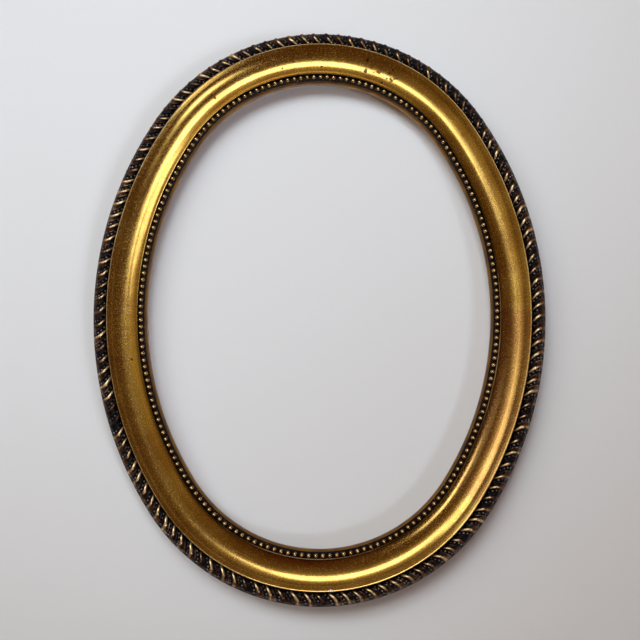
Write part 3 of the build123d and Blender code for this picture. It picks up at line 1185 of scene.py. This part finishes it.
@dataclass
class RopeOrnament:
    """The twisted rope round the outer edge: ribs, fluted shoulders and hollows with small pearls.

    Each pair of gold values is the share of gold at the start, and what the relief adds to it on ribs and
    bead lines or takes off it in flutes and hollows.
    """

    rail: Rail
    crest_height: float = 4.9
    pitch: float = 7.8
    twist_advance: float = 4.8
    outer_reach: float = 1.25
    rib_width: float = 2.3
    rib_gold: tuple[float, float] = (0.3, 0.85)
    shoulder_width: float = 1.9
    shoulder_drop: float = 0.42
    shoulder_gold: tuple[float, float] = (0.12, 1.4)
    flute_depth: float = 0.12
    flutes: int = 3
    bead_line_width: float = 0.65
    bead_line_drop: float = 0.3
    bead_line_gold: tuple[float, float] = (0.2, 0.3)
    hollow_drop: float = 1.05
    hollow_gold: tuple[float, float] = (0.02, 0.25)
    pearl_radius: float = 0.55
    pearl_lift: float = 0.4
    pearl_spread: float = 0.52
    pearl_rings: int = 4
    pearl_sides: int = 8
    pearls: int = 4
    rub_start: float = -0.3
    rub_end: float = 0.45
    rib_fade: float = 0.55
    inner_fade: float = 0.4
    edge_fade: float = 0.25
    outer_brown: float = 0.3
    gilt_spread: float = 0.24
    dim_place: tuple[float, float] = (62.0, 34.0)
    dim_share: float = 0.4
    twist_waver: float = 0.05
    waver_counts: tuple[int, int] = (17, 43)
    samples_per_twist: int = 30
    section_steps: int = 46
    crease: float = 60.0
    seed: int = 7

    @property
    def middle(self) -> float:
        """Middle line of the rope, from the sight edge."""
        return self.rail.rope_inner + self.rail.rope_width / 2

    @property
    def radius(self) -> float:
        """Radius of the rope's round."""
        half = self.rail.rope_width / 2
        return (half ** 2 + self.crest_height ** 2) / (2 * self.crest_height)

    @property
    def rise(self) -> float:
        """Height of the rope's centre above its seat."""
        return self.crest_height - self.radius

    @property
    def swing(self) -> float:
        """Half angle of the rope's round."""
        return QUARTER_TURN + math.asin(self.rise / self.radius)

    @property
    def line_end(self) -> float:
        """Place along one twist where its bead line ends and its hollow starts."""
        return self.rib_width + self.shoulder_width + self.bead_line_width

    def advance(self, roll: np.ndarray) -> np.ndarray:
        """How far a rib runs ahead along the rope: it leaves the inner edge flat and steepens outwards.

        Args:
            roll: Angle round the rope from its crest, outwards.

        Returns:
            Millimetres along the rope, zero at the crest, where the inner share is one half.
        """
        inner_share = (1 - np.sin(roll) / math.sin(min(self.swing, QUARTER_TURN))) / 2
        return self.twist_advance * (0.5 ** 2 - np.clip(inner_share, 0, 1) ** 2)

    def seat(self, roll: np.ndarray, reach: np.ndarray) -> tuple[np.ndarray, np.ndarray]:
        """Where points of the rope's section lie: its outer foot runs out over the base ledge.

        Args:
            roll: Angle round the rope from its crest, outwards.
            reach: Distance of each point from the rope's centre.

        Returns:
            Distance across the rail and height above the back plane.
        """
        rail = self.rail
        foot = np.clip(roll / self.swing, 0, 1)
        fall = (rail.rope_seat_height - rail.ledge_height) * self.outer_reach / rail.ledge_width
        ground = rail.rope_seat_height - fall * foot ** 3
        across = self.middle + reach * np.sin(roll) * (1 + self.outer_reach / (rail.rope_width / 2) * foot)
        return across, np.maximum(ground + self.rise + reach * np.cos(roll), ground)

    def gilt_share(self, turns: np.ndarray, direction: np.ndarray, twists: int) -> np.ndarray:
        """Factor on each twist's gold: uneven by hand, and lowest at the upper right.

        Args:
            turns: Place along the rope, counted in twists.
            direction: Outward normal at each place.
            twists: Number of twists all round.

        Returns:
            Factor on the gold.
        """
        draw = random.Random(self.seed)
        uneven = np.array([draw.gauss(1, self.gilt_spread) for _ in range(twists)])
        dim = self.dim_share * near_direction(direction, *self.dim_place)
        return uneven[np.floor(turns).astype(int) % twists] * (1 - dim)[:, None]

    def profile(self, place: np.ndarray, outward: np.ndarray) -> tuple[np.ndarray, np.ndarray]:
        """Depth below the crest and gilding along one twist.

        Args:
            place: Millimetres along the rope from the start of a twist, in front of its rib.
            outward: Share of the way from the rubbed inner side to the brown outer side.

        Returns:
            Depth in millimetres and the share of gold, from 0 to 1.
        """
        rib_end = self.rib_width
        shoulder_end = rib_end + self.shoulder_width
        rib = np.sin(np.clip(place / rib_end, 0, 1) * math.pi)
        shoulder_share = np.clip((place - rib_end) / self.shoulder_width, 0, 1)
        flute = self.flute_depth * (0.5 - 0.5 * np.cos(shoulder_share * self.flutes * FULL_TURN))
        line = np.sin(np.clip((place - shoulder_end) / self.bead_line_width, 0, 1) * math.pi)
        hollow_share = np.clip((place - self.line_end) / (self.pitch - self.line_end), 0, 1)
        floor = 1 - (2 * hollow_share - 1) ** 4
        stretches = [place < rib_end, place < shoulder_end, place < self.line_end]
        depth = np.select(
            stretches,
            [self.shoulder_drop * (1 - rib), self.shoulder_drop + flute,
             self.shoulder_drop - (self.shoulder_drop - self.bead_line_drop) * line],
            self.shoulder_drop + floor * (self.hollow_drop - self.shoulder_drop))
        brown = self.outer_brown * outward
        gold = np.select(
            stretches,
            [self.rib_gold[0] + (self.rib_gold[1] - self.rib_fade * outward) * rib,
             self.shoulder_gold[0] + brown - self.shoulder_gold[1] * flute,
             self.bead_line_gold[0] + self.bead_line_gold[1] * line],
            self.hollow_gold[0] + brown - self.hollow_gold[1] * np.sqrt(np.clip(floor, 0, 1)))
        return depth, gold

    def build(self, rubbed: Material, lacquer: Material) -> None:
        """Builds the four strips and seats them on the frame.

        Args:
            rubbed: Finish of the rope.
            lacquer: Finish of the small pearls in its hollows.
        """
        oval = self.rail.oval
        roll = np.linspace(-self.swing, self.swing, self.section_steps)
        quarter = oval.length(self.middle) / len(QUARTERS)
        twists = round(quarter / self.pitch)
        step = quarter / twists
        fade = np.clip((self.swing - np.abs(roll)) / self.edge_fade, 0, 1)
        outward = np.clip((np.sin(roll) - self.rub_start) / (self.rub_end - self.rub_start), 0, 1)
        kept = 1 - self.inner_fade * np.clip(-2 * np.sin(roll) - 1, 0, 1)
        for number, place in enumerate(QUARTERS):
            distance = number * quarter + np.linspace(0, quarter, twists * self.samples_per_twist + 1)
            round_share = distance / (len(QUARTERS) * quarter) * FULL_TURN
            waver = self.twist_waver * sum(np.sin(count * round_share) for count in self.waver_counts)
            turns = (distance[:, None] - self.advance(roll)[None, :]) / step + waver[:, None]
            depth, gold = self.profile(turns % 1.0 * self.pitch, outward)
            across, height = self.seat(roll, self.radius - depth * fade)
            direction = oval.direction_at(distance, self.middle)
            gold = gold * kept * self.gilt_share(turns, direction, len(QUARTERS) * twists)
            vertices = oval.points(direction[:, None], across, height).reshape(-1, 3)
            faces, zones = sweep_faces(len(distance), len(roll), [0] * len(roll))
            mesh = PieceMesh(f"rope_{place}")
            mesh.add(vertices, faces, [0] * len(zones), gilt=(gold * fade).ravel())
            self.add_pearls(mesh, number * quarter, step, twists)
            piece = mesh.finish([rubbed, lacquer], self.crease)
            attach(piece, "frame")
            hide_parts(f"rope_strip_{place}")

    def add_pearls(self, mesh: PieceMesh, start: float, step: float, twists: int) -> None:
        """Sets a row of small pearls in each hollow of one strip.

        Args:
            mesh: Strip that takes the pearls.
            start: Where the strip starts along the rope.
            step: Length of one twist.
            twists: Number of twists in the strip.
        """
        oval = self.rail.oval
        points, faces = pearl_template(self.pearl_rings, self.pearl_sides)
        in_hollow = (self.line_end + self.pitch) / 2 / self.pitch * step
        reach = self.radius - self.hollow_drop + self.pearl_radius * self.pearl_lift
        rolls = np.linspace(-self.pearl_spread, self.pearl_spread, self.pearls) * self.swing
        for twist in range(twists):
            for roll in rolls:
                distance = start + twist * step + in_hollow + float(self.advance(roll))
                if not start + self.pearl_radius < distance < start + twists * step - self.pearl_radius:
                    continue
                direction = oval.direction_at(np.array(distance), self.middle)
                centre = oval.points(direction, *self.seat(roll, reach))
                mesh.add(centre + points * self.pearl_radius, faces, [1] * len(faces),
                         gilt=np.zeros(len(points)))


@dataclass
class BeadOrnament:
    """The string of pearls in the channel at the sight edge, on its pressed strip."""

    rail: Rail
    bead_half_length: float = 1.5
    bead_half_width: float = 1.55
    bead_offset: float = 0.4
    bead_half_height: float = 2.0
    bead_top: float = 16.4
    pitch: float = 4.29
    strip_height: float = 0.6
    side_gap: float = 0.05
    strip_round: float = 0.2
    strip_steps: int = 4
    size_spread: float = 0.02
    lean: float = 0.06
    middle_gold: float = 0.26
    rise_gold: float = 0.84
    most_gold: float = 1.1
    rings: int = 11
    sides: int = 20
    samples_per_bead: int = 6
    crease: float = 60.0
    seed: int = 5

    def build(self, rubbed: Material, wash: Material) -> None:
        """Builds the four strips and seats them on the frame.

        Args:
            rubbed: Finish of the pearls.
            wash: Finish of the strip between them.
        """
        rail, oval = self.rail, self.rail.oval
        middle = rail.lip_width + rail.channel_width / 2
        quarter = oval.length(middle) / len(QUARTERS)
        beads = round(quarter / self.pitch)
        inner, outer = rail.lip_width + self.side_gap, rail.channel_outer - self.side_gap
        top = rail.channel_height + self.strip_height
        section = rounded([
            (inner, rail.channel_height, 0), (inner, top, self.strip_round), (outer, top, self.strip_round),
            (outer, rail.channel_height, 0)], self.strip_steps)
        centre_height = self.bead_top - self.bead_half_height
        points, faces = pearl_template(self.rings, self.sides)
        draw = random.Random(self.seed)
        for number, place in enumerate(QUARTERS):
            distance = number * quarter + np.linspace(0, quarter, beads * self.samples_per_bead + 1)
            direction = oval.direction_at(distance, middle)
            vertices = oval.points(direction[:, None], *section.T[:, None, :]).reshape(-1, 3)
            strip_faces, zones = sweep_faces(len(distance), len(section), [0] * len(section))
            mesh = PieceMesh(f"beads_{place}")
            mesh.add(vertices, strip_faces, [1] * len(zones), gilt=np.zeros(len(vertices)))
            for bead in range(beads):
                at = oval.direction_at(np.array(number * quarter + (bead + 0.5) * quarter / beads), middle)
                size = 1 - abs(draw.gauss(0, self.size_spread))
                offset = np.array([*(draw.uniform(-self.lean, self.lean) for _ in range(2)), 0])
                centre = oval.points(at, middle + self.bead_offset, centre_height) + offset
                outward = np.array([math.cos(at), math.sin(at), 0])
                axes = np.array([
                    outward * self.bead_half_width, np.cross([0, 0, 1], outward) * self.bead_half_length,
                    [0, 0, self.bead_half_height]])
                shell = centre + points @ axes * size
                shell[:, 2] = np.maximum(shell[:, 2], rail.channel_height + self.side_gap)
                gold = np.clip(self.middle_gold + self.rise_gold * points[:, 2], 0, self.most_gold)
                mesh.add(shell, faces, [0] * len(faces), gilt=gold)
            piece = mesh.finish([rubbed, wash], self.crease)
            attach(piece, "frame")
            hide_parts(f"bead_strip_{place}")


@dataclass
class BackFittings:
    """Turn buttons, screws, hanger and dowels: the CAD shapes with soft edges and finishes."""

    edge_soft: float = 0.12
    edge_segments: int = 2
    crease: float = 35.0

    def dress(self, brass: Material, zinc: Material, beech: Material) -> None:
        """Gives each carried-over node its finish.

        Args:
            brass: Finish of the turn buttons and their screws.
            zinc: Finish of the hanger's strap, ring and screw.
            beech: Finish of the dowels.
        """
        for name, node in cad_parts.items():
            if name.startswith("turn_button"):
                finish = brass
            elif name.startswith("hanger"):
                finish = zinc
            elif name == "joint_dowels":
                finish = beech
            else:
                continue
            node.data.materials.clear()
            node.data.materials.append(finish)
            if finish is not beech:
                bevel = node.modifiers.new("soft_edges", "BEVEL")
                bevel.width = self.edge_soft * MM
                bevel.segments = self.edge_segments
                bevel.limit_method = "ANGLE"
                bevel.angle_limit = math.radians(self.crease)
            LOG.info("%s: dressed in %s", name, finish.name)


@dataclass(frozen=True)
class Lamp:
    """A soft lamp, in degrees, metres and watts.

    Azimuth counts counter-clockwise from the frame's right, polar from straight above. The beam is narrow
    where a grid holds the light together.
    """

    name: str
    azimuth: float
    polar: float
    distance: float
    size: tuple[float, float]
    power: float
    aim: tuple[float, float, float] = (0.0, 0.0, 0.0)
    beam: float = 180.0

    def light(self, colour: str) -> None:
        """Adds the lamp to the scene, looking at its aim.

        Args:
            colour: Colour of its light, as a hex value.
        """
        data = bpy.data.lights.new(self.name, "AREA")
        data.shape = "RECTANGLE"
        data.size, data.size_y = self.size
        data.energy = self.power
        data.color = linear(colour)[:3]
        data.spread = math.radians(self.beam)
        lamp = bpy.data.objects.new(self.name, data)
        azimuth, polar = math.radians(self.azimuth), math.radians(self.polar)
        level = math.sin(polar)
        way = Vector((level * math.cos(azimuth), level * math.sin(azimuth), math.cos(polar)))
        lamp.location = way * self.distance
        lamp.rotation_mode = "QUATERNION"
        lamp.rotation_quaternion = (lamp.location - Vector(self.aim)).to_track_quat("Z", "Y")
        bpy.context.scene.collection.objects.link(lamp)
        LOG.info("%s at %.2f m", self.name, self.distance)


@dataclass
class Studio:
    """Pale floor, soft lamps and a camera at the photograph's angle."""

    floor_colour: str = "#E5EAE7"
    floor_half: float = 3.0
    floor_gap: float = 0.02
    daylight: str = "#E9F0FF"
    lamps: tuple[Lamp, ...] = (
        Lamp("key_lamp", 104.0, 27.0, 0.98, (0.5, 0.42), 5.0),
        Lamp("window_lamp", 146.0, 46.0, 1.5, (0.45, 0.85), 5.8),
        Lamp("fill_lamp", 326.0, 39.0, 1.0, (0.7, 0.45), 0.25, aim=(-0.1, 0.13, 0.02), beam=26.0),
        Lamp("low_lamp", 338.0, 31.0, 1.0, (0.25, 0.35), 0.12),
        Lamp("back_lamp", 300.0, 160.0, 1.5, (1.2, 1.2), 20.0),
    )
    dark_side: str = "#542717"
    bright_side: str = "#D0B480"
    bright_range: tuple[float, float] = (-0.25, 0.9)
    bright_rise: tuple[float, float] = (0.15, 0.8)
    bright_way: tuple[float, float, float] = (-0.766, 0.643, 0.0)
    wall: Coat = Coat("#CBC8C2", 0.06, 0.2, 0.0, 1.0)
    lens: float = 45.0
    sensor: float = 36.0
    aim_height: float = 17.0
    tilt: float = -6.375
    yaw: float = -0.971
    roll: float = 0.268
    offset: tuple[float, float, float] = (-1.14, 7.46, -504.61)

    def floor(self) -> None:
        """Lays a wide pale floor that is open to the eye and to lamps from below."""
        material = new_material("matt_floor_paint")
        tree = material.node_tree
        behind = add_node(tree, "ShaderNodeNewGeometry", out="Backfacing")
        shadow = add_node(tree, "ShaderNodeLightPath", out="Is Shadow Ray")
        clear = add_node(tree, "ShaderNodeMath", {0: behind, 1: shadow}, operation="MAXIMUM")
        paint = add_node(tree, "ShaderNodeBsdfPrincipled", {
            "Base Color": linear(self.floor_colour), "Roughness": 0.9, "Specular IOR Level": 0.1})
        open_way = add_node(tree, "ShaderNodeBsdfTransparent")
        mixed = add_node(tree, "ShaderNodeMixShader", {0: clear, 1: paint, 2: open_way})
        add_node(tree, "ShaderNodeOutputMaterial", {"Surface": mixed})
        half = self.floor_half
        low = CAD_LOW.z - self.floor_gap * MM
        corners = [(-half, -half, low), (half, -half, low), (half, half, low), (-half, half, low)]
        mesh = bpy.data.meshes.new("floor")
        mesh.from_pydata(corners, [], [(0, 1, 2, 3)])
        mesh.materials.append(material)
        floor = bpy.data.objects.new("floor", mesh)
        bpy.context.scene.collection.objects.link(floor)

    def world(self) -> None:
        """Builds a room that is warm and bright on one side, dark on the other and pale at the horizon."""
        world = bpy.data.worlds.new("studio")
        bpy.context.scene.world = world
        world.use_nodes = True
        tree = world.node_tree
        tree.nodes.clear()
        way = add_node(tree, "ShaderNodeTexCoord", out="Generated")
        side = add_node(tree, "ShaderNodeVectorMath", {
            0: way, 1: self.bright_way}, out="Value", operation="DOT_PRODUCT")
        rise = add_node(tree, "ShaderNodeSeparateXYZ", {0: way}, out="Z")
        lift = add_node(tree, "ShaderNodeMapRange", {
            "Value": rise, "From Min": self.bright_rise[0], "From Max": self.bright_rise[1]},
            interpolation_type="SMOOTHSTEP")
        bright = Coat(self.bright_side, *self.bright_range, lift, smooth=True)
        colour, _ = bright.over(tree, self.dark_side, side)
        colour, _ = self.wall.over(tree, colour, rise)
        glow = add_node(tree, "ShaderNodeBackground", {"Color": colour, "Strength": 1.0})
        add_node(tree, "ShaderNodeOutputWorld", {"Surface": glow})

    def camera(self) -> None:
        """Sets the camera at the photograph's viewing angle."""
        turn = Matrix.Identity(3)
        for angle, axis in ((self.roll, "Z"), (self.tilt, "X"), (self.yaw, "Y")):
            turn = turn @ Matrix.Rotation(math.radians(angle), 3, axis)
        data = bpy.data.cameras.new("camera")
        data.lens = self.lens
        data.sensor_width = self.sensor
        camera = bpy.data.objects.new("camera", data)
        place = Vector((0, 0, self.aim_height * MM)) - turn.transposed() @ (Vector(self.offset) * MM)
        camera.matrix_world = Matrix.Translation(place) @ turn.transposed().to_4x4()
        bpy.context.scene.collection.objects.link(camera)
        bpy.context.scene.camera = camera

    def build(self) -> None:
        """Builds the floor, the lamps, the world and the camera."""
        self.floor()
        for lamp in self.lamps:
            lamp.light(self.daylight)
        self.world()
        self.camera()
        bpy.context.scene.view_settings.view_transform = "Standard"


@dataclass(frozen=True)
class AgeMarks:
    """Pits and chips of the gilding: a cluster of pits at the upper right and a few marks alone.

    A mark alone is given by its direction in degrees, its distance across and its radius.
    """

    cluster_size: int = 12
    cluster_directions: tuple[float, float] = (61.0, 75.0)
    cluster_across: tuple[float, float] = (8.0, 16.0)
    cluster_radii: tuple[float, float] = (0.7, 1.2)
    pits: tuple[tuple[float, float, float], ...] = (
        (62.4, 12.4, 1.3), (63.6, 18.6, 1.0), (72.4, 13.0, 1.4), (72.8, 18.8, 1.2),
        (88.4, 10.7, 1.0), (102.6, 12.3, 0.9), (129.0, 13.8, 1.3), (188.8, 10.9, 0.9))
    chips: tuple[tuple[float, float, float], ...] = ((273.4, 23.0, 1.2), (273.9, 23.4, 1.0))
    seed: int = 3

    def marks(self) -> list[Mark]:
        """All the marks, those of the cluster first.

        Returns:
            The pits, then the chips.
        """
        draw = random.Random(self.seed)
        ranges = (self.cluster_directions, self.cluster_across, self.cluster_radii)
        cluster = [tuple(draw.uniform(*ends) for ends in ranges) for _ in range(self.cluster_size)]
        pits = [Mark(MarkKind.PIT, *numbers) for numbers in (*cluster, *self.pits)]
        return pits + [Mark(MarkKind.CHIP, *numbers) for numbers in self.chips]


def main() -> None:
    """Builds the frame piece by piece around the CAD model."""
    logging.basicConfig(level=logging.INFO, format="%(name)s: %(message)s")
    rail_width = Rail(Oval(1, 2)).width
    rail = Rail(Oval(CAD_HIGH.x / MM - rail_width, CAD_HIGH.y / MM - rail_width))
    gilt = GiltLeaf().material(rail, AgeMarks().marks())
    patina = BlackPatina().material()
    lip = BronzeWash("bronze_wash_lip", "#8E6628", "#482D14").material()
    ledge = BronzeWash("bronze_wash_ledge", "#5E432C", "#2C1C12").material()
    back = StainedWood("stained_lime_back", "#8A6038", "#4E3119").material(along_board=True)
    rail.build([lip, patina, gilt, patina, ledge, back])
    rope_gold = RubbedOrnament("rubbed_gold_rope", "#DABB88", "#644028", roughness=0.27)
    RopeOrnament(rail).build(rope_gold.material(), BlackLacquer().material())
    bead_gold = RubbedOrnament(
        "rubbed_gold_beads", "#C6A468", "#503418", roughness=0.2, metal=0.9, varnish=0.4)
    BeadOrnament(rail).build(bead_gold.material(), patina)
    BackFittings().dress(
        PlatedSteel("brassed_steel", "#C9A65A", "#8E6E38").material(),
        PlatedSteel("zinc_plate", "#B4B7BA", "#84878A").material(),
        StainedWood("bare_beech", "#CDA878", "#A57C4E").material(along_board=False))
    Studio().build()


if __name__ == "__main__":
    main()
